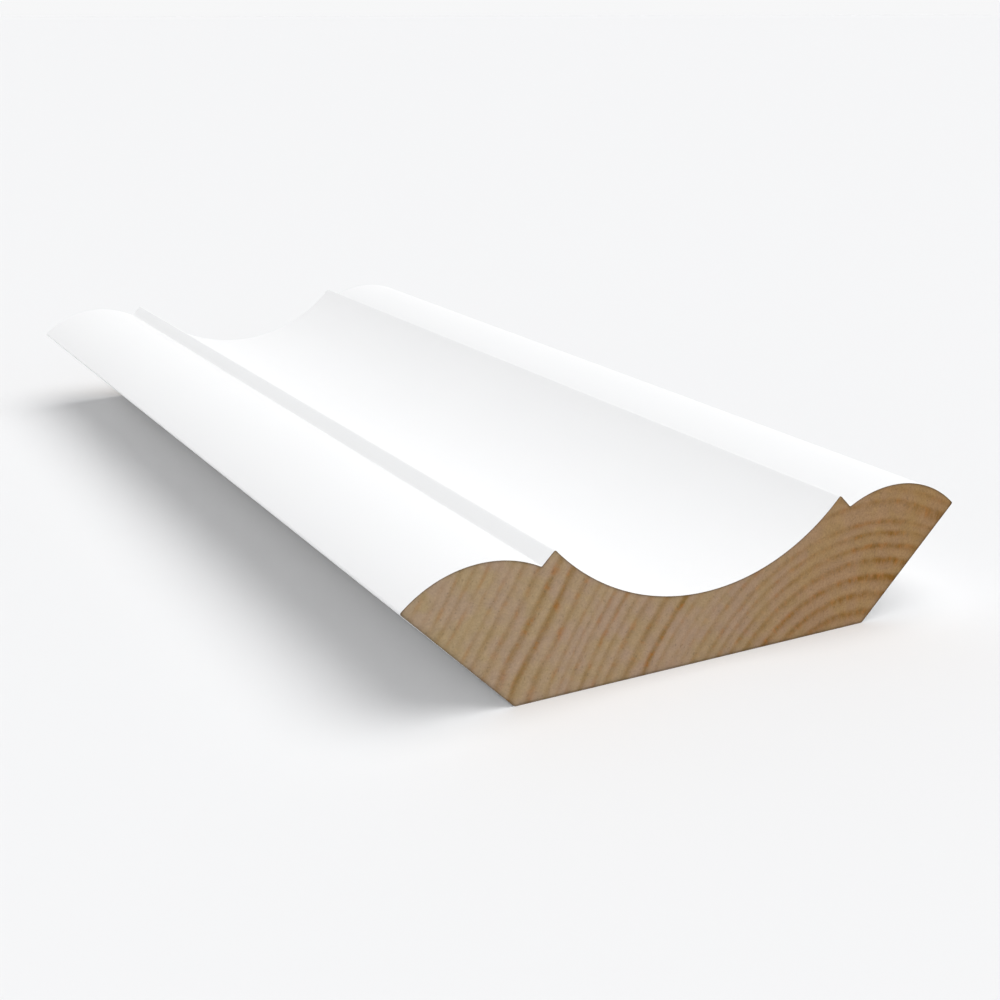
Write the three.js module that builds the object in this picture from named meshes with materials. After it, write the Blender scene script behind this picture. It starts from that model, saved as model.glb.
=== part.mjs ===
// A length of painted pine crown moulding, lying on its flat back.
// The section is mirror-symmetric: a wide cove between two ovolos, each set off from the cove by a
// small 45 degree fillet, over a flat back whose two long edges are planed at 45 degrees to bear on
// the wall and on the ceiling. The whole length is one piece of wood, cut square at both ends.
//
// Millimetres, +Z up. X runs across the section, Y along the length, and the origin is at the
// middle of the flat back.

import * as THREE from 'three';

// Driving dimensions.
const width = 92; // across the two outer arrises, before they are eased
const thickness = 21; // from the flat back to the crest of each ovolo
const length = 191; // the length shown
const edgeHeight = 16.3; // how high above the back the 45 degree edges end
const coveOpening = 47.5; // between the two arrises of the cove
const coveFloor = 10.5; // wood left under the deepest line of the cove
const coveRise = 10.4; // from that line up to the cove's arrises
const filletStep = 2; // both the width and the drop of the fillet beside the cove
const arrisEase = 0.35; // how far each sharp corner is eased back on either side

// How finely the curves are cut.
const coveSteps = 48;
const ovoloSteps = 24;
const easeSteps = 4;

const point = (x, z) => new THREE.Vector2(x, z);

// The corners of the right half of the section, from the back up to the cove.
const backCorner = point(width / 2 - edgeHeight, 0);
const outerArris = point(width / 2, edgeHeight);
const coveArris = point(coveOpening / 2, coveFloor + coveRise);
const notch = point(coveArris.x + filletStep, coveArris.y - filletStep);

// The circle that touches the crest height between two lower points on either side of it.
function arcUnderCrest(inner, outer, crest) {
  const span = outer.x - inner.x;
  const innerDrop = crest - inner.y;
  const outerDrop = crest - outer.y;
  const ratio = outerDrop / innerDrop;
  // The crest lies at a distance u from the inner point, where a*u*u + b*u + c = 0.
  const a = 1 - ratio;
  const b = -2 * span;
  const c = span ** 2 - ratio * innerDrop ** 2 + outerDrop ** 2;
  const u = (-b - Math.sqrt(b * b - 4 * a * c)) / (2 * a);
  const radius = (u ** 2 + innerDrop ** 2) / (2 * innerDrop);
  return { centre: point(inner.x + u, crest - radius), radius };
}

// The points of an arc from one point to another about a centre, the shorter way round.
function arcPoints({ centre, radius }, from, to, steps) {
  const start = Math.atan2(from.y - centre.y, from.x - centre.x);
  const sweep = Math.atan2(to.y - centre.y, to.x - centre.x) - start;
  return Array.from({ length: steps + 1 }, (_, i) => {
    const angle = start + (sweep * i) / steps;
    return point(centre.x + radius * Math.cos(angle), centre.y + radius * Math.sin(angle));
  });
}

const mirrored = ({ x, y }) => point(-x, y);

// The runs of the right half, each from corner to corner, going up from the back to the cove.
function rightHalfRuns() {
  const ovolo = arcUnderCrest(notch, outerArris, thickness);
  return [
    [backCorner, outerArris],
    arcPoints(ovolo, outerArris, notch, ovoloSteps),
    [notch, coveArris],
  ];
}

function coveRun() {
  const radius = (coveArris.x ** 2 + coveRise ** 2) / (2 * coveRise);
  const cove = { centre: point(0, coveFloor + radius), radius };
  return arcPoints(cove, coveArris, mirrored(coveArris), coveSteps);
}

// All the runs of the section, anticlockwise, each one starting where the one before it ends.
function sectionRuns() {
  const right = rightHalfRuns();
  const left = right.map((run) => run.map(mirrored).reverse()).reverse();
  return [...right, coveRun(), ...left, [mirrored(backCorner), backCorner]];
}

// The point on a run's end stretch, at a distance from that end.
function stepBack(end, next, distance) {
  return end.clone().add(next.clone().sub(end).setLength(distance));
}

// Joins the runs into one outline. An outside corner is rounded by a short curve that starts and
// ends at arrisEase from it, and the inside corner at each notch stays sharp.
function outlineOf(runs) {
  const outline = [];
  runs.forEach((run, i) => {
    const following = runs[(i + 1) % runs.length];
    outline.push(...run.slice(1, -1));
    const corner = run.at(-1);
    const before = run.at(-2);
    const after = following[1];
    const turn = corner.clone().sub(before).cross(after.clone().sub(corner));
    if (turn <= 0) {
      outline.push(corner);
      return;
    }
    const ease = new THREE.QuadraticBezierCurve(
      stepBack(corner, before, arrisEase),
      corner,
      stepBack(corner, after, arrisEase),
    );
    outline.push(...ease.getPoints(easeSteps));
  });
  return outline;
}

const paintedPine = new THREE.MeshStandardMaterial({
  color: new THREE.Color(0.93, 0.93, 0.925),
  roughness: 0.45,
  metalness: 0,
});

function crownMoulding() {
  const section = new THREE.Shape(outlineOf(sectionRuns()));
  const geometry = new THREE.ExtrudeGeometry(section, {
    depth: length,
    steps: 1,
    bevelEnabled: false,
  });
  const mesh = new THREE.Mesh(geometry, paintedPine);
  mesh.name = 'crown_moulding';
  // The section is drawn in X and Y and run out along Z, so it is tipped up onto its end faces.
  mesh.rotation.x = Math.PI / 2;
  mesh.position.y = length / 2;
  return mesh;
}

const part = new THREE.Group();
part.name = 'crown_moulding_length';
part.add(crownMoulding());

export default part;
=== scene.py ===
import math

import bmesh
import bpy
import numpy as np
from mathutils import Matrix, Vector, noise


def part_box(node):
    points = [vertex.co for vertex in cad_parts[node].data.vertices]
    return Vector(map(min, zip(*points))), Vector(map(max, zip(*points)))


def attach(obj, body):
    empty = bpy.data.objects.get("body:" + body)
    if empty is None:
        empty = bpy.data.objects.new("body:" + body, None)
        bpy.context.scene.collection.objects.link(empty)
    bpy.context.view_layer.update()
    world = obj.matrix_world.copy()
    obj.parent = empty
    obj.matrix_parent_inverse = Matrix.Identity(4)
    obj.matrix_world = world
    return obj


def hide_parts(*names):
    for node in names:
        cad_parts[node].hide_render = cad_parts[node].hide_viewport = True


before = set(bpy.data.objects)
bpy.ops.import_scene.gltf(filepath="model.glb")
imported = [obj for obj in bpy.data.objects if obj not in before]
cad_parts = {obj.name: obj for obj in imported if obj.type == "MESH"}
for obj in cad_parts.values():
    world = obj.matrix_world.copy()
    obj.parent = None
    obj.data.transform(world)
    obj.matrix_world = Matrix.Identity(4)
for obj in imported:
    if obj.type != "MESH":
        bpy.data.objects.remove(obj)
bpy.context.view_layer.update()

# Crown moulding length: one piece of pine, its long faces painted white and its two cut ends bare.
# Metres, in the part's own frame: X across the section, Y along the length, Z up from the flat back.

mm = 0.001
woodLow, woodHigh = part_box("crown_moulding")
frontEnd = woodLow.y / mm  # where the two cut ends are along the length, in millimetres
rearEnd = woodHigh.y / mm

# the section, in millimetres, as it shows on the cut end
section = {
    "width": 92.0,        # across the two outer arrises, before they are eased
    "edgeHeight": 16.3,   # how high above the back the 45 degree edges end
    "coveOpening": 47.5,  # between the two arrises of the cove
    "coveFloor": 10.5,    # wood left under the deepest line of the cove
    "coveRise": 10.4,     # from that line up to the cove's arrises
    "filletStep": 2.0,    # width and drop of the fillet beside the cove
    "arrisEase": 0.35,    # how far the sharp corners are eased back
    "notchEase": 0.22,    # paint that gathers in the two inside corners
}

# how finely the mesh is cut; lengths are in millimetres
cutting = {
    "outlineSteps": 900,     # points on each run of the outline, before it is cut into columns
    "easeSteps": 25,         # points on the curve at each corner
    "columns": 150,          # across half the section
    "nearCorners": (0.36, 11),  # extra columns this far to either side of a corner, and how many
    "nearTip": (             # extra columns this far in from the outer arris
        0.003, 0.012, 0.027, 0.05, 0.08, 0.12, 0.17, 0.24, 0.33, 0.45,
    ),
    "closest": 0.006,        # two columns are never nearer than this
    "rows": 60,              # through the thickness, on the ends
    "rimRows": (0.1, 0.28),  # first two rows in from the outline
    "stations": 40,          # steps along the length
    "backBelow": 0.02,       # faces of the underside that lie lower than this are the flat back
    "atOnce": 2000,          # points whose distance to the outline is measured in one go
    "sharpFrom": 35,         # degrees between two faces
}

def arcUnderCrest(inner, outer, crest):
    # centre of the circle that touches the crest height between two lower points
    span = outer[0] - inner[0]
    innerDrop = crest - inner[1]
    outerDrop = crest - outer[1]
    ratio = outerDrop / innerDrop
    a = 1 - ratio
    b = -2 * span
    c = span ** 2 - ratio * innerDrop ** 2 + outerDrop ** 2
    along = (-b - math.sqrt(b * b - 4 * a * c)) / (2 * a)
    radius = (along ** 2 + innerDrop ** 2) / (2 * innerDrop)
    return inner[0] + along, crest - radius

def arcPoints(centre, start, end, steps):
    radius = math.dist(centre, start)
    first = math.atan2(start[1] - centre[1], start[0] - centre[0])
    last = math.atan2(end[1] - centre[1], end[0] - centre[0])
    angles = np.linspace(first, last, steps)
    return np.column_stack((centre[0] + radius * np.cos(angles), centre[1] + radius * np.sin(angles)))

def easeCorner(before, after, ease):
    # takes the corner off where two runs meet, and returns both runs with the curve between them
    corner = before[-1]
    before = before[np.linalg.norm(before - corner, axis=1) > ease]
    after = after[np.linalg.norm(after - corner, axis=1) > ease]
    start = corner + (before[-1] - corner) / np.linalg.norm(before[-1] - corner) * ease
    end = corner + (after[0] - corner) / np.linalg.norm(after[0] - corner) * ease
    t = np.linspace(0, 1, cutting["easeSteps"])[:, None]
    curve = (1 - t) ** 2 * start + 2 * t * (1 - t) * corner + t ** 2 * end
    return np.vstack((before, curve)), after

def halfOutline():
    # the right half, from the middle of the cove round the outer arris to the middle of the back
    s = section
    crest = woodHigh.z / mm
    outerArris = (s["width"] / 2, s["edgeHeight"])
    backCorner = (s["width"] / 2 - s["edgeHeight"], 0.0)
    coveArris = (s["coveOpening"] / 2, s["coveFloor"] + s["coveRise"])
    notch = (coveArris[0] + s["filletStep"], coveArris[1] - s["filletStep"])
    coveRadius = (coveArris[0] ** 2 + s["coveRise"] ** 2) / (2 * s["coveRise"])
    coveCentre = (0.0, s["coveFloor"] + coveRadius)
    ovoloCentre = arcUnderCrest(notch, outerArris, crest)
    steps = cutting["outlineSteps"]
    runs = [
        (arcPoints(coveCentre, (0.0, s["coveFloor"]), coveArris, steps), s["arrisEase"]),
        (np.linspace(coveArris, notch, steps), s["notchEase"]),
        (arcPoints(ovoloCentre, notch, outerArris, steps), s["arrisEase"]),
        (np.linspace(outerArris, backCorner, steps), s["arrisEase"]),
        (np.linspace(backCorner, (0.0, 0.0), steps), 0),
    ]
    outline, ease = runs[0]
    for run, nextEase in runs[1:]:
        outline, run = easeCorner(outline, run, ease)
        outline = np.vstack((outline, run))
        ease = nextEase
    return outline, (coveArris[0], notch[0], backCorner[0])

def sectionColumns():
    # the section as columns: where each one stands, and the heights of its foot and its top
    outline, corners = halfOutline()
    tip = int(outline[:, 0].argmax())
    top = outline[:tip + 1]
    foot = outline[tip:][::-1]
    tipX = min(outline[tip, 0], woodHigh.x / mm)
    xs = list(np.linspace(0, tipX, cutting["columns"]))
    reach, extra = cutting["nearCorners"]
    for x in corners:
        xs += list(x + np.linspace(-reach, reach, extra))
    xs += [tipX - inward for inward in cutting["nearTip"]]
    xs = np.array(sorted(x for x in xs if 0 <= x <= tipX))
    apart = np.concatenate(([True], np.diff(xs) > cutting["closest"]))
    xs = xs[apart]
    xs[-1] = tipX
    topZ = np.interp(xs, top[:, 0], top[:, 1])
    footZ = np.interp(xs, foot[:, 0], foot[:, 1])
    footZ[-1] = topZ[-1]
    mirror = slice(None, 0, -1)
    return (
        np.concatenate((-xs[mirror], xs)),
        np.concatenate((footZ[mirror], footZ)),
        np.concatenate((topZ[mirror], topZ)),
    )

# how the wood grew, in millimetres on the front end
grain = {
    "heart": (30.0, -18.5),         # middle of the tree, below the right half of the section
    "heartRing": 36.5,              # radius of the ring that is round about the heart
    "heartShift": (0.143, -0.169),  # how far the middle moves for each millimetre a ring is larger
    "shiftRounds": 8,               # times that the radius is worked out again from the moved middle
    "heartDrift": (1.4, -0.8),      # how far the heart has moved at the rear end
    "firstRing": 17.4,              # from the heart to the innermost ring line
    "rings": [                      # width of each ring outwards, and how dark its line is
        (3.1, 0.80), (3.2, 1.02), (3.1, 0.76), (2.6, 0.64), (2.3, 0.50), (2.1, 0.48), (2.8, 0.50),
        (2.1, 0.24), (1.9, 0.22), (2.5, 0.16), (2.5, 1.00), (3.5, 0.66), (3.4, 0.60), (2.3, 0.40),
        (2.4, 0.66), (2.5, 0.54), (1.6, 0.30), (1.9, 0.34), (3.0, 0.54), (3.5, 0.92), (3.3, 0.96),
        (3.0, 0.48), (3.0, 0.52), (2.1, 0.38), (2.1, 0.16), (1.9, 0.36), (2.2, 0.42), (2.1, 0.46),
        (1.7, 0.22), (2.6, 0.31), (2.2, 0.29), (2.2, 0.33),
    ],
    "darkAt": 0.75,                 # where in its own width a ring has just that darkness
    "bends": [                      # where lines leave their circles, and how far inwards they go
        {"angle": (118, 108), "radius": (34.5, 36.5), "push": -1.0},
        {"angle": (86, 69), "radius": (31.0, 36.0), "push": 1.4},
        {"angle": (144, 150), "radius": (60.0, 67.0), "push": 0.6},
        {"angle": (153, 160), "radius": (60.0, 67.0), "push": -0.85},
    ],
    "patches": [                    # X, Z and reach of places, and how much darker the lines are there
        (22.0, 8.0, 8.0, -0.35), (34.5, 10.5, 4.0, 0.30), (31.5, 4.6, 2.0, -0.15),
        (42.3, 16.6, 3.0, 0.40), (38.0, 13.0, 2.5, -0.50), (29.0, 14.1, 2.5, 0.40),
        (34.7, 13.3, 1.6, 0.60), (28.0, 9.8, 0.9, -0.60), (20.5, 15.0, 3.0, -0.50),
        (12.0, 4.0, 5.0, -0.20),
    ],
    "ringShape": [                  # share of the ring's width, and how much latewood there
        (0.00, 0.64), (0.08, 0.25), (0.19, 0.00), (0.42, 0.06),
        (0.59, 0.34), (0.74, 0.82), (0.87, 1.00), (1.00, 0.64),
    ],
    "linePeak": 0.88,               # where in its own width a ring is darkest
    "strays": [                     # size across, size along, and how far that takes a line from round
        (14.0, 160.0, 0.13), (3.2, 60.0, 0.07), (1.2, 30.0, 0.03),
    ],
    "sway": (70.0, 90.0, 1.6),      # the same, for the slow wander that starts behind the front end
    "swayFull": 0.3,                # share of the length by which that wander has come in
}

def slowWander(x, y, z, across, along, far):
    # unevenness of the growth in millimetres, from its size across and along and how far it goes
    return np.array([
        far * noise.noise(Vector((a / across, b / along, c / across))) for a, b, c in zip(x, y, z)
    ])

def easeBetween(value, start, end):
    share = np.clip((value - start) / (end - start), 0, 1)
    return share * share * (3 - 2 * share)

def growthAt(x, y, z):
    # for points in millimetres: rings counted from the heart, place round the tree, line darkness
    g = grain
    alongShare = (y - frontEnd) / (rearEnd - frontEnd)
    dx = x - g["heart"][0] - g["heartDrift"][0] * alongShare
    dz = z - g["heart"][1] - g["heartDrift"][1] * alongShare
    around = np.arctan2(dz, dx)
    radius = np.hypot(dx, dz)
    for _ in range(g["shiftRounds"]):
        out = radius - g["heartRing"]
        radius = np.hypot(dx - g["heartShift"][0] * out, dz - g["heartShift"][1] * out)
    push = sum(slowWander(x, y, z, *stray) for stray in g["strays"])
    push += slowWander(x, y, z, *g["sway"]) * easeBetween(alongShare, 0, g["swayFull"])
    for bend in g["bends"]:
        inBend = easeBetween(np.degrees(around), *bend["angle"]) * easeBetween(radius, *bend["radius"])
        push += bend["push"] * inBend
    radius = radius + push
    widths, darks = (np.array(column) for column in zip(*g["rings"]))
    lines = g["firstRing"] + np.concatenate(([0], np.cumsum(widths)))
    count = np.interp(radius, lines, np.arange(len(lines)) + g["linePeak"])
    count = np.where(radius < lines[0], g["linePeak"] - (lines[0] - radius) / widths[0], count)
    dark = np.interp(radius, lines[:-1] + g["darkAt"] * widths, darks)
    for patchX, patchZ, reach, change in g["patches"]:
        away = np.hypot(x - patchX, z - patchZ) / reach
        dark = dark * (1 + change * np.exp(-away ** 2))
    return count, around, dark

def latewoodAt(count):
    share, amount = zip(*grain["ringShape"])
    return np.interp(count % 1, share, amount)

# how the round saw left the two ends, in millimetres
sawCut = {
    "depth": 0.045,            # how far the soft wood is torn below the hard lines
    "byRings": 0.75,           # share of that depth that follows the rings; the rest is saw marks
    "faintHold": 0.4,          # how well the faintest line holds, against 1 for a full one
    "centre": (-60.0, 135.0),  # of the round blade that came down from above
    "pitch": 1.1,              # between the marks of its teeth
    "drift": (1.5, 0.7),       # how far the marks drift, in radians, and how fast, in radians a millimetre
    "rimHolds": 0.25,          # the wood stays whole this near to the outline
}

def sawMarkAt(x, z):
    # shallow arcs left by the teeth, from 0 to 1 and not quite evenly apart
    centreX, centreZ = sawCut["centre"]
    out = np.hypot(x - centreX, z - centreZ)
    far, fast = sawCut["drift"]
    return 0.5 + 0.5 * np.sin(2 * math.pi * out / sawCut["pitch"] + far * np.sin(out * fast))

def tornAt(x, z, count, dark, rim):
    # the saw tears the soft wood a little deeper than the hard lines, and nothing at the outline
    hold = sawCut["faintHold"]
    soft = np.clip(1 - latewoodAt(count) * (hold + (1 - hold) * dark), 0, 1)
    byRings = sawCut["byRings"]
    torn = byRings * soft + (1 - byRings) * sawMarkAt(x, z)
    return torn * sawCut["depth"] * np.clip(rim / sawCut["rimHolds"], 0, 1)

def endCap(xs, footZ, topZ):
    # the points inside an end face, column by column, with the outer rows close to the outline
    rows = cutting["rows"]
    firstIn, secondIn = cutting["rimRows"]
    inner = np.arange(1, rows)
    placed = [0, 1, 2, rows - 2, rows - 1, rows]
    capX, capZ = [], []
    for x, low, high in zip(xs[1:-1], footZ[1:-1], topZ[1:-1]):
        tall = high - low
        a = min(firstIn, tall / rows)
        b = min(secondIn, 2 * tall / rows)
        capX.append(np.full(rows - 1, x))
        capZ.append(low + np.interp(inner, placed, [0, a, b, tall - b, tall - a, tall]))
    return np.concatenate(capX), np.concatenate(capZ)

def distanceFrom(edgeX, edgeZ, x, z):
    # how far each point lies from one side of the outline, in millimetres
    edge = np.column_stack((edgeX, edgeZ))
    points = np.column_stack((x, z))
    many = cutting["atOnce"]
    near = np.empty(len(points))
    for i in range(0, len(points), many):
        block = points[i:i + many, None, :] - edge[None, :, :]
        near[i:i + many] = np.sqrt((block ** 2).sum(axis=2)).min(axis=1)
    return near

# the order of the three finishes on the piece
paintedFace, sawnFace, backFace = range(3)

def longFaces(ringZ, columns, stations):
    # the faces between one ring of points and the next, and the finish of each
    around = len(ringZ)
    low = ringZ < cutting["backBelow"]
    faces, finishes = [], []
    for station in range(stations - 1):
        a = station * around
        b = a + around
        for i in range(around):
            k = (i + 1) % around
            faces.append((a + i, a + k, b + k, b + i))
            onBack = i >= columns and low[i] and low[k]
            finishes.append(backFace if onBack else paintedFace)
    return faces, finishes

def endFaces(columns, ringStart, insideStart, turned):
    # the faces of one cut end, column by column from the foot up; the outer columns are one point
    rows = cutting["rows"]
    column = np.arange(columns)
    inside = np.arange((columns - 2) * (rows - 1)).reshape(columns - 2, rows - 1)
    numbers = np.empty((columns, rows + 1), int)
    numbers[:, rows] = ringStart + column
    numbers[:, 0] = ringStart + 2 * columns - 2 - column
    numbers[1:-1, 1:-1] = insideStart + inside
    numbers[0] = ringStart
    numbers[-1] = ringStart + columns - 1
    numbers = numbers.tolist()
    faces = []
    for left, right in zip(numbers, numbers[1:]):
        for row in range(rows):
            square = (left[row], right[row], right[row + 1], left[row + 1])
            face = tuple(dict.fromkeys(square))
            faces.append(face[::-1] if turned else face)
    return faces

def addPiece(name, points, faces, finishes, values):
    # makes the object, and keeps what the materials need to know of the wood on its points
    mesh = bpy.data.meshes.new(name)
    mesh.from_pydata(points.tolist(), [], faces)
    mesh.polygons.foreach_set("material_index", finishes)
    for title, numbers in values.items():
        kept = mesh.attributes.new(title, "FLOAT", "POINT")
        kept.data.foreach_set("value", numbers.astype(np.float32))
    work = bmesh.new()
    work.from_mesh(mesh)
    bmesh.ops.recalc_face_normals(work, faces=work.faces)
    work.to_mesh(mesh)
    work.free()
    mesh.shade_smooth()
    mesh.set_sharp_from_angle(angle=math.radians(cutting["sharpFrom"]))
    piece = bpy.data.objects.new(name, mesh)
    bpy.context.collection.objects.link(piece)
    return piece

def buildLength():
    xs, footZ, topZ = sectionColumns()
    ringX = np.concatenate((xs, xs[-2:0:-1]))
    ringZ = np.concatenate((topZ, footZ[-2:0:-1]))
    capX, capZ = endCap(xs, footZ, topZ)
    stations = np.linspace(frontEnd, rearEnd, cutting["stations"] + 1)
    print("section:", len(xs), "columns,", len(ringX), "points round the outline")

    def everywhere(onRing, onCap):
        # one value for each point: the rings along the length, then the inside of the two ends
        return np.concatenate((np.tile(onRing, len(stations)), onCap, onCap))

    x = everywhere(ringX, capX)
    z = everywhere(ringZ, capZ)
    y = np.concatenate((np.repeat(stations, len(ringX)), np.repeat(stations[[0, -1]], len(capX))))
    planed, moulded = (
        everywhere(distanceFrom(xs, side, ringX, ringZ), distanceFrom(xs, side, capX, capZ))
        for side in (footZ, topZ)
    )
    count, angle, dark = growthAt(x, y, z)
    print("growth rings: from", round(count.min(), 1), "to", round(count.max(), 1), "counted outwards")

    torn = tornAt(x, z, count, dark, np.minimum(planed, moulded))
    inward = np.where(y < 0, torn, -torn)
    points = np.column_stack((x, y + inward, z)) * mm
    inRings = len(stations) * len(ringX)
    faces, finishes = longFaces(ringZ, len(xs), len(stations))
    faces += endFaces(len(xs), 0, inRings, False)
    faces += endFaces(len(xs), inRings - len(ringX), inRings + len(capX), True)
    finishes += [sawnFace] * (len(faces) - len(finishes))
    values = {
        "ringCount": count, "roundTree": angle, "ringDark": dark,
        "planedRim": planed, "mouldedRim": moulded,
    }
    return addPiece("moulding_length", points, faces, finishes, values)

class Shader:
    # short hand for building the nodes of a material, or of the sky
    def __init__(self, name, shelf=bpy.data.materials, last="Principled BSDF", place="Object"):
        self.finish = shelf.new(name)
        self.finish.use_nodes = True
        self.tree = self.finish.node_tree
        self.surface = self.tree.nodes[last]
        self.place = self.node("ShaderNodeTexCoord").outputs[place]

    def node(self, kind, **settings):
        made = self.tree.nodes.new(kind)
        for key, value in settings.items():
            setattr(made, key, value)
        return made

    def put(self, value, socket):
        if isinstance(value, bpy.types.NodeSocket):
            self.tree.links.new(value, socket)
        elif socket.type == "RGBA":
            socket.default_value = (*value, 1)
        else:
            socket.default_value = value

    def set(self, name, value):
        self.put(value, self.surface.inputs[name])

    def math(self, operation, a, b=0.0, c=0.0, clamp=False):
        made = self.node("ShaderNodeMath", operation=operation, use_clamp=clamp)
        for value, socket in zip((a, b, c), made.inputs):
            self.put(value, socket)
        return made.outputs["Value"]

    def product(self, factors, clamp=False):
        total = factors[0]
        for factor in factors[1:-1]:
            total = self.math("MULTIPLY", total, factor)
        return self.math("MULTIPLY", total, factors[-1], clamp=clamp)

    def scaled(self, x, y, z):
        made = self.node("ShaderNodeMapping")
        self.put(self.place, made.inputs["Vector"])
        made.inputs["Scale"].default_value = (x, y, z)
        return made.outputs["Vector"]

    def noise(self, vector, scale=1.0, detail=2.0, roughness=0.5):
        made = self.node("ShaderNodeTexNoise")
        self.put(vector, made.inputs["Vector"])
        made.inputs["Scale"].default_value = scale
        made.inputs["Detail"].default_value = detail
        made.inputs["Roughness"].default_value = roughness
        return made.outputs["Fac"]

    def apart(self, vector):
        made = self.node("ShaderNodeSeparateXYZ")
        self.put(vector, made.inputs["Vector"])
        return made.outputs

    def spread(self, value, low, high, toLow=0.0, toHigh=1.0, bend="LINEAR"):
        made = self.node("ShaderNodeMapRange", interpolation_type=bend)
        names = ("Value", "From Min", "From Max", "To Min", "To Max")
        for name, given in zip(names, (value, low, high, toLow, toHigh)):
            self.put(given, made.inputs[name])
        return made.outputs["Result"]

    def swing(self, value, span, depth):
        # a factor that goes from 1 - depth to 1 + depth
        return self.math("MULTIPLY_ADD", self.spread(value, *span, -1.0, 1.0), depth, 1.0)

    def ramp(self, value, stops):
        made = self.node("ShaderNodeValToRGB")
        elements = made.color_ramp.elements
        while len(elements) < len(stops):
            elements.new(0.5)  # moved to its own place below
        for element, (at, colour) in zip(elements, stops):
            element.position = at
            element.color = (*colour, 1)
        self.put(value, made.inputs["Fac"])
        return made.outputs["Color"]

    def mix(self, share, a, b, blend="MIX"):
        made = self.node("ShaderNodeMix", data_type="RGBA", blend_type=blend)
        self.put(share, made.inputs["Factor"])
        colours = [s for s in made.inputs if s.type == "RGBA"]
        self.put(a, colours[0])
        self.put(b, colours[1])
        return [s for s in made.outputs if s.type == "RGBA"][0]

    def grey(self, tone):
        made = self.node("ShaderNodeCombineColor")
        for name in ("Red", "Green", "Blue"):
            self.put(tone, made.inputs[name])
        return made.outputs["Color"]

    def attribute(self, name):
        return self.node("ShaderNodeAttribute", attribute_name=name).outputs["Fac"]

    def bump(self, height, depth, before=None):
        made = self.node("ShaderNodeBump")
        made.inputs["Strength"].default_value = 1.0
        made.inputs["Distance"].default_value = depth
        self.put(height, made.inputs["Height"])
        if before is not None:
            self.put(before, made.inputs["Normal"])
        return made.outputs["Normal"]

def screenColour(red, green, blue):
    # a colour as a screen shows it, turned into the linear numbers that the shader takes
    shown = (red / 255, green / 255, blue / 255)
    return tuple(c / 12.92 if c <= 0.04045 else ((c + 0.055) / 1.055) ** 2.4 for c in shown)

def greyStops(stops):
    return [(at, (tone, tone, tone)) for at, tone in stops]

def latewood(m, count):
    return m.ramp(m.math("FRACT", count), greyStops(grain["ringShape"]))

def ringLines(m):
    return m.math("MULTIPLY", latewood(m, m.attribute("ringCount")), m.attribute("ringDark"))

def treePlace(m, acrossRays, acrossRings, shift=0.0):
    # a place measured round the tree and outwards from its heart
    made = m.node("ShaderNodeCombineXYZ")
    m.put(m.math("MULTIPLY", m.attribute("roundTree"), acrossRays), made.inputs["X"])
    m.put(m.math("MULTIPLY", m.attribute("ringCount"), acrossRings), made.inputs["Y"])
    m.put(shift, made.inputs["Z"])
    return made.outputs["Vector"]

# the moulder's knives leave one shallow wave for each stroke; in metres
knives = {
    "pitch": 0.0017,      # feed between two strokes
    "depth": 0.0000015,
}

def knifeStrokes(m):
    return m.math("SINE", m.math("MULTIPLY", m.apart(m.place)["Y"], 2 * math.pi / knives["pitch"]))

# paint on the cove, fillets, ovolos and 45 degree edges
paint = {
    "white": (0.925, 0.925, 0.922),
    "cloudShade": 0.985,               # against 1 for the white, where a faint cloud crosses the paint
    "cloudsPerMetre": 45,
    "streaksPerMetre": (900, 5, 900),  # fine streaks that run along the length
    "streakSpan": (0.3, 0.7),          # the part of their noise over which the roughness changes
    "roughness": (0.36, 0.46),
    "peelPerMetre": 1100,              # orange peel
    "peelDepth": 0.000004,
    "grainDepth": 0.000006,            # rings that show through as faint ridges
}

def whitePaint():
    p = paint
    m = Shader("whitePaint")
    streaks = m.noise(m.scaled(*p["streaksPerMetre"]), detail=3)
    clouds = m.noise(m.place, scale=p["cloudsPerMetre"], detail=2)
    shade = tuple(c * p["cloudShade"] for c in p["white"])
    m.set("Base Color", m.mix(clouds, p["white"], shade))
    m.set("Roughness", m.spread(streaks, *p["streakSpan"], *p["roughness"]))
    normal = m.bump(m.noise(m.place, scale=p["peelPerMetre"], detail=1), p["peelDepth"])
    normal = m.bump(knifeStrokes(m), knives["depth"], normal)
    normal = m.bump(streaks, p["peelDepth"], normal)
    m.set("Normal", m.bump(ringLines(m), p["grainDepth"], normal))
    return m.finish

# the flat back has one thin coat, and the wood shows through it
backCoat = {
    "coat": (0.83, 0.82, 0.79),
    "woodTint": (0.74, 0.66, 0.54),
    "roughness": 0.62,
    "streaksPerMetre": (600, 9, 600),
    "wornPerMetre": (120, 22, 120),  # patches where the coat is thin
    "wornSpan": (0.38, 0.66),        # the part of both noises that goes from none to all
    "wornShare": (0.15, 0.85),       # how much wood shows where the coat is thickest and thinnest
    "fullLine": 0.8,                 # a ring line as dark as this shows in full
    "grainDepth": 0.000009,
}

def thinBackCoat():
    b = backCoat
    m = Shader("thinBackCoat")
    lines = ringLines(m)
    streaks = m.noise(m.scaled(*b["streaksPerMetre"]), detail=4, roughness=0.6)
    worn = m.noise(m.scaled(*b["wornPerMetre"]), detail=3)
    thin = m.product([
        m.spread(lines, 0.0, b["fullLine"]),
        m.spread(streaks, *b["wornSpan"]),
        m.spread(worn, *b["wornSpan"], *b["wornShare"]),
    ], clamp=True)
    m.set("Base Color", m.mix(thin, b["coat"], b["woodTint"]))
    m.set("Roughness", b["roughness"])
    normal = m.bump(streaks, b["grainDepth"])
    normal = m.bump(knifeStrokes(m), knives["depth"], normal)
    m.set("Normal", m.bump(lines, b["grainDepth"], normal))
    return m.finish

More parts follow.
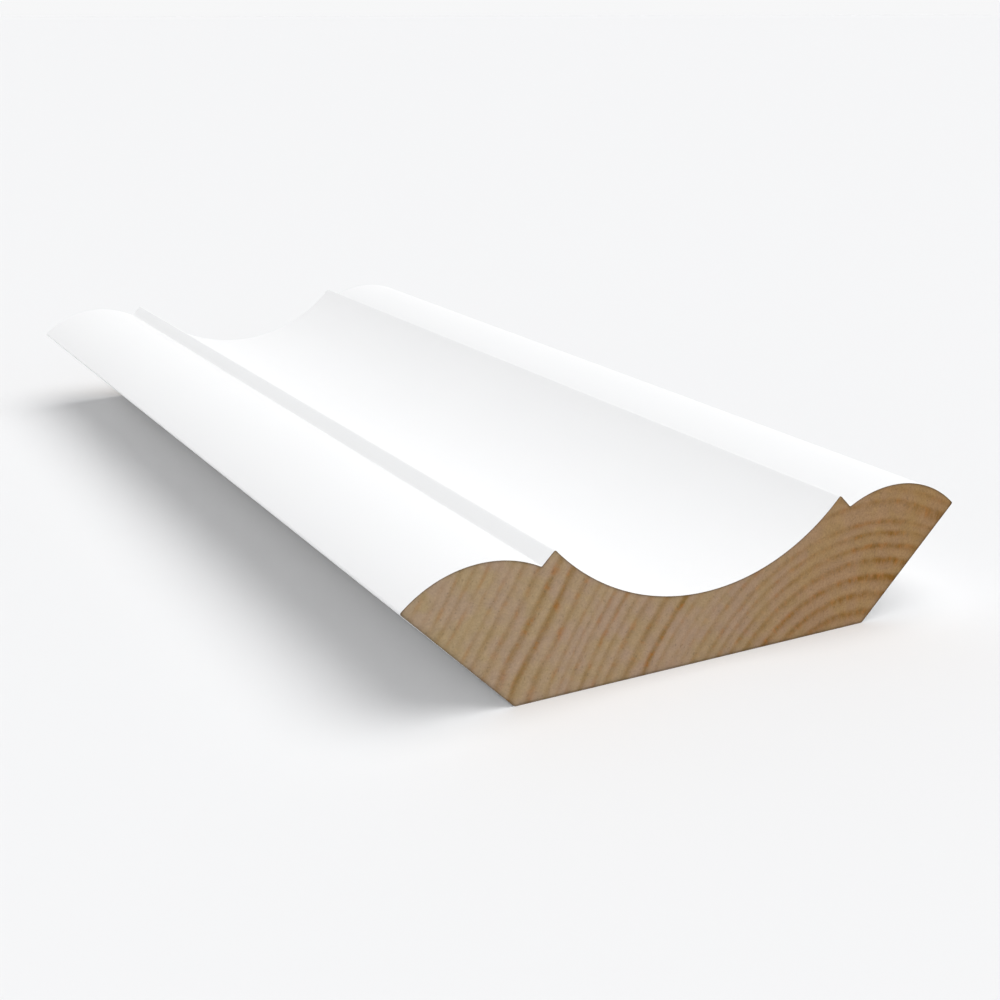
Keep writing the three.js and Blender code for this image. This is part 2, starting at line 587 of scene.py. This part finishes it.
# bare pine on the two cut ends; colours are as a screen shows them, from the left edge to the right
endGrain = {
    "softWood": [
        (0.0, (161, 139, 109)), (0.3, (161, 137, 109)), (0.55, (156, 131, 102)),
        (0.72, (154, 124, 88)), (1.0, (149, 116, 74)),
    ],
    "hardLine": [
        (0.0, (136, 107, 66)), (0.3, (135, 105, 63)), (0.55, (129, 98, 50)),
        (0.72, (124, 86, 24)), (1.0, (121, 80, 8)),
    ],
    "hotLine": (150, 92, 20),        # resin-orange places on the lines
    "hotShare": 0.75,
    "blush": (1.005, 0.995, 1.09),   # tints that drift over the face
    "honey": (0.995, 1.0, 0.91),
    "looseFrom": (0.006, 0.026),     # X in metres where the lines begin to be loose, and are quite loose
    "feather": (0.08, 0.30),         # how far the rays pull a clean and a loose line about, in rings
    "weakest": (0.75, 0.60),         # how dark a clean and a loose line are where they fade
    "strongest": (1.20, 1.30),       # and where they are strong
    "comb": (0.12, 0.25),            # how much the darkness changes from ray to ray
    "rayDepth": 0.05,                # and how much the tone of all the wood does
    "cellDepth": (0.11, 0.16),       # how much the open cells mottle the clean and the loose wood
    "mottle": (0.04, 0.06),          # broader unevenness, about a millimetre across
    "speckTone": 0.85,               # of single dark cells
    "planedRim": [(0.0, 0.45), (0.20, 0.60), (0.38, 0.88), (0.8, 1.0)],  # millimetres in, and the tone
    "mouldedRim": [(0.0, 0.50), (0.14, 0.66), (0.26, 0.90), (0.5, 1.0)],
    "rimStray": 0.16,                # how far the dark rim comes and goes, in millimetres
    "roughness": 0.8,
    "gloss": 0.3,
    "relief": 0.00002,               # of the cells and the rays, in metres
}

# sizes of the patterns on the cut ends, and the part of each noise that goes from none to all
endPattern = {
    "rays": (215, 1.5),              # how many for each radian round the tree, and for each ring
    "fades": (19, 1.3, 4.0),         # the same; the third number only keeps the patterns apart
    "hotPlaces": (34, 1.1, 9.0),
    "fadeSpan": (0.36, 0.64),
    "combSpan": (0.33, 0.67),
    "hotSpan": (0.5, 0.64),
    "drift": 300,                    # this one and the next four are counted in a metre
    "cells": 3600,
    "specks": 2300,
    "broad": 820,
    "rim": 700,
    "driftSpan": (0.38, 0.62),
    "cellSpan": (0.25, 0.75),
    "broadSpan": (0.3, 0.7),
    "speckSpan": (0.75, 0.79),
}

def bareEndGrain():
    e = endGrain
    p = endPattern
    m = Shader("bareEndGrain")
    placeAcross = m.apart(m.place)["X"]
    across = m.spread(placeAcross, woodLow.x, woodHigh.x)
    softWood, hardLine = (
        m.ramp(across, [(at, screenColour(*colour)) for at, colour in e[name]])
        for name in ("softWood", "hardLine")
    )

    # rays run straight out from the heart and pull the ring lines about; each line comes and goes
    rays = m.noise(treePlace(m, *p["rays"]), detail=2, roughness=0.6)
    fades = m.noise(treePlace(m, *p["fades"]), detail=2)
    hotPlaces = m.noise(treePlace(m, *p["hotPlaces"]), detail=2)
    loose = m.spread(placeAcross, *e["looseFrom"])
    feather, weakest, strongest, comb, cellDepth, mottle = (
        m.spread(loose, 0.0, 1.0, *e[name])
        for name in ("feather", "weakest", "strongest", "comb", "cellDepth", "mottle")
    )
    pull = m.math("MULTIPLY", m.math("SUBTRACT", rays, 0.5), feather)
    late = m.product([
        latewood(m, m.math("ADD", m.attribute("ringCount"), pull)),
        m.attribute("ringDark"),
        m.spread(fades, *p["fadeSpan"], weakest, strongest),
        m.swing(rays, p["combSpan"], comb),
    ], clamp=True)
    hotShare = m.spread(hotPlaces, *p["hotSpan"], 0.0, e["hotShare"])
    hardLine = m.mix(hotShare, hardLine, screenColour(*e["hotLine"]))
    drift = m.spread(m.noise(m.place, scale=p["drift"], detail=2), *p["driftSpan"])
    colour = m.mix(late, softWood, hardLine)
    colour = m.mix(1.0, colour, m.mix(drift, e["honey"], e["blush"]), "MULTIPLY")

    # open cells speckle the whole face, and the cut is darker along its rim
    cells = m.noise(m.place, scale=p["cells"], detail=2, roughness=0.6)
    specks = m.noise(m.place, scale=p["specks"], detail=0)
    broad = m.noise(m.place, scale=p["broad"], detail=1)
    tones = [
        m.swing(rays, p["cellSpan"], e["rayDepth"]),
        m.swing(cells, p["cellSpan"], cellDepth),
        m.swing(broad, p["broadSpan"], mottle),
        m.spread(specks, *p["speckSpan"], 1.0, e["speckTone"]),
    ]
    for rim in ("planedRim", "mouldedRim"):
        stray = m.noise(m.place, scale=p["rim"])
        inward = m.math("MULTIPLY_ADD", stray, e["rimStray"], m.attribute(rim))
        inward = m.math("SUBTRACT", inward, e["rimStray"] / 2)
        tones.append(m.ramp(inward, greyStops(e[rim])))
    m.set("Base Color", m.mix(1.0, colour, m.grey(m.product(tones)), "MULTIPLY"))
    m.set("Roughness", e["roughness"])
    m.set("Specular IOR Level", e["gloss"])
    m.set("Normal", m.bump(rays, e["relief"], m.bump(cells, e["relief"])))
    return m.finish

# pale floor and soft studio light
studio = {
    "floorSize": 40.0,                 # metres
    "floorTone": (0.82, 0.82, 0.82),
    "floorRoughness": 0.9,
    "floorGloss": 0.1,
    "horizon": (0.93, 0.932, 0.937),   # the sky meets the floor in the same tone
    "skyLeft": (0.24, 0.244, 0.254),   # overhead it is darker on the left, so the left sides shade off
    "skyRight": (0.42, 0.425, 0.44),
    "skyRises": (0.06, 0.55),          # where the horizon's tone ends and the sky's own begins
    "lamps": {                         # softness is the angle that each lamp fills, in degrees
        "keyLight": {"from": (0.22, -0.22, 0.93), "strength": 2.35, "softness": 65},
        "fillLight": {"from": (-0.85, -0.45, 0.28), "strength": 0.32, "softness": 60},
    },
}

def paleFloor():
    half = studio["floorSize"] / 2
    mesh = bpy.data.meshes.new("floor")
    corners = [(-half, -half, 0), (half, -half, 0), (half, half, 0), (-half, half, 0)]
    mesh.from_pydata(corners, [], [(0, 1, 2, 3)])
    floor = bpy.data.objects.new("floor", mesh)
    bpy.context.collection.objects.link(floor)
    m = Shader("paleFloor")
    m.set("Base Color", studio["floorTone"])
    m.set("Roughness", studio["floorRoughness"])
    m.set("Specular IOR Level", studio["floorGloss"])
    mesh.materials.append(m.finish)

def softSky():
    sky = Shader("softSky", bpy.data.worlds, "Background", "Generated")
    direction = sky.apart(sky.place)
    across = sky.spread(direction["X"], -1.0, 1.0)
    overhead = sky.mix(across, studio["skyLeft"], studio["skyRight"])
    rise = sky.spread(direction["Z"], *studio["skyRises"], bend="SMOOTHSTEP")
    sky.set("Color", sky.mix(rise, studio["horizon"], overhead))
    bpy.context.scene.world = sky.finish

def softLamps():
    for name, lamp in studio["lamps"].items():
        data = bpy.data.lights.new(name, "SUN")
        data.energy = lamp["strength"]
        data.angle = math.radians(lamp["softness"])
        sun = bpy.data.objects.new(name, data)
        sun.rotation_euler = Vector(lamp["from"]).to_track_quat("Z", "Y").to_euler()
        bpy.context.collection.objects.link(sun)

# the photograph's view, in millimetres and degrees
view = {
    "place": (-117.4, -252.0, 87.1),
    "turn": 28.66,      # to the right of straight along the length
    "tilt": 18.07,      # down from level
    "lens": 54.13,
    "sensor": 36,
    "nearest": 10,      # nothing nearer than this is drawn
}

def buildCamera():
    data = bpy.data.cameras.new("camera")
    data.lens = view["lens"]
    data.sensor_width = view["sensor"]
    data.clip_start = view["nearest"] * mm
    camera = bpy.data.objects.new("camera", data)
    camera.location = Vector(view["place"]) * mm
    camera.rotation_euler = (math.radians(90 - view["tilt"]), 0, -math.radians(view["turn"]))
    bpy.context.collection.objects.link(camera)
    bpy.context.scene.camera = camera

moulding = buildLength()
print("moulding length:", len(moulding.data.vertices), "vertices,", len(moulding.data.polygons), "faces")

for finish in (whitePaint(), bareEndGrain(), thinBackCoat()):
    moulding.data.materials.append(finish)
print("finishes:", ", ".join(finish.name for finish in moulding.data.materials))

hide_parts("crown_moulding")
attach(moulding, "root")

paleFloor()
softSky()
softLamps()
bpy.context.scene.view_settings.view_transform = "Standard"  # tones as they are, with no film look
print("studio: floor, sky and", len(studio["lamps"]), "lamps")

buildCamera()
print("camera:", view["lens"], "mm lens on a", view["sensor"], "mm sensor")
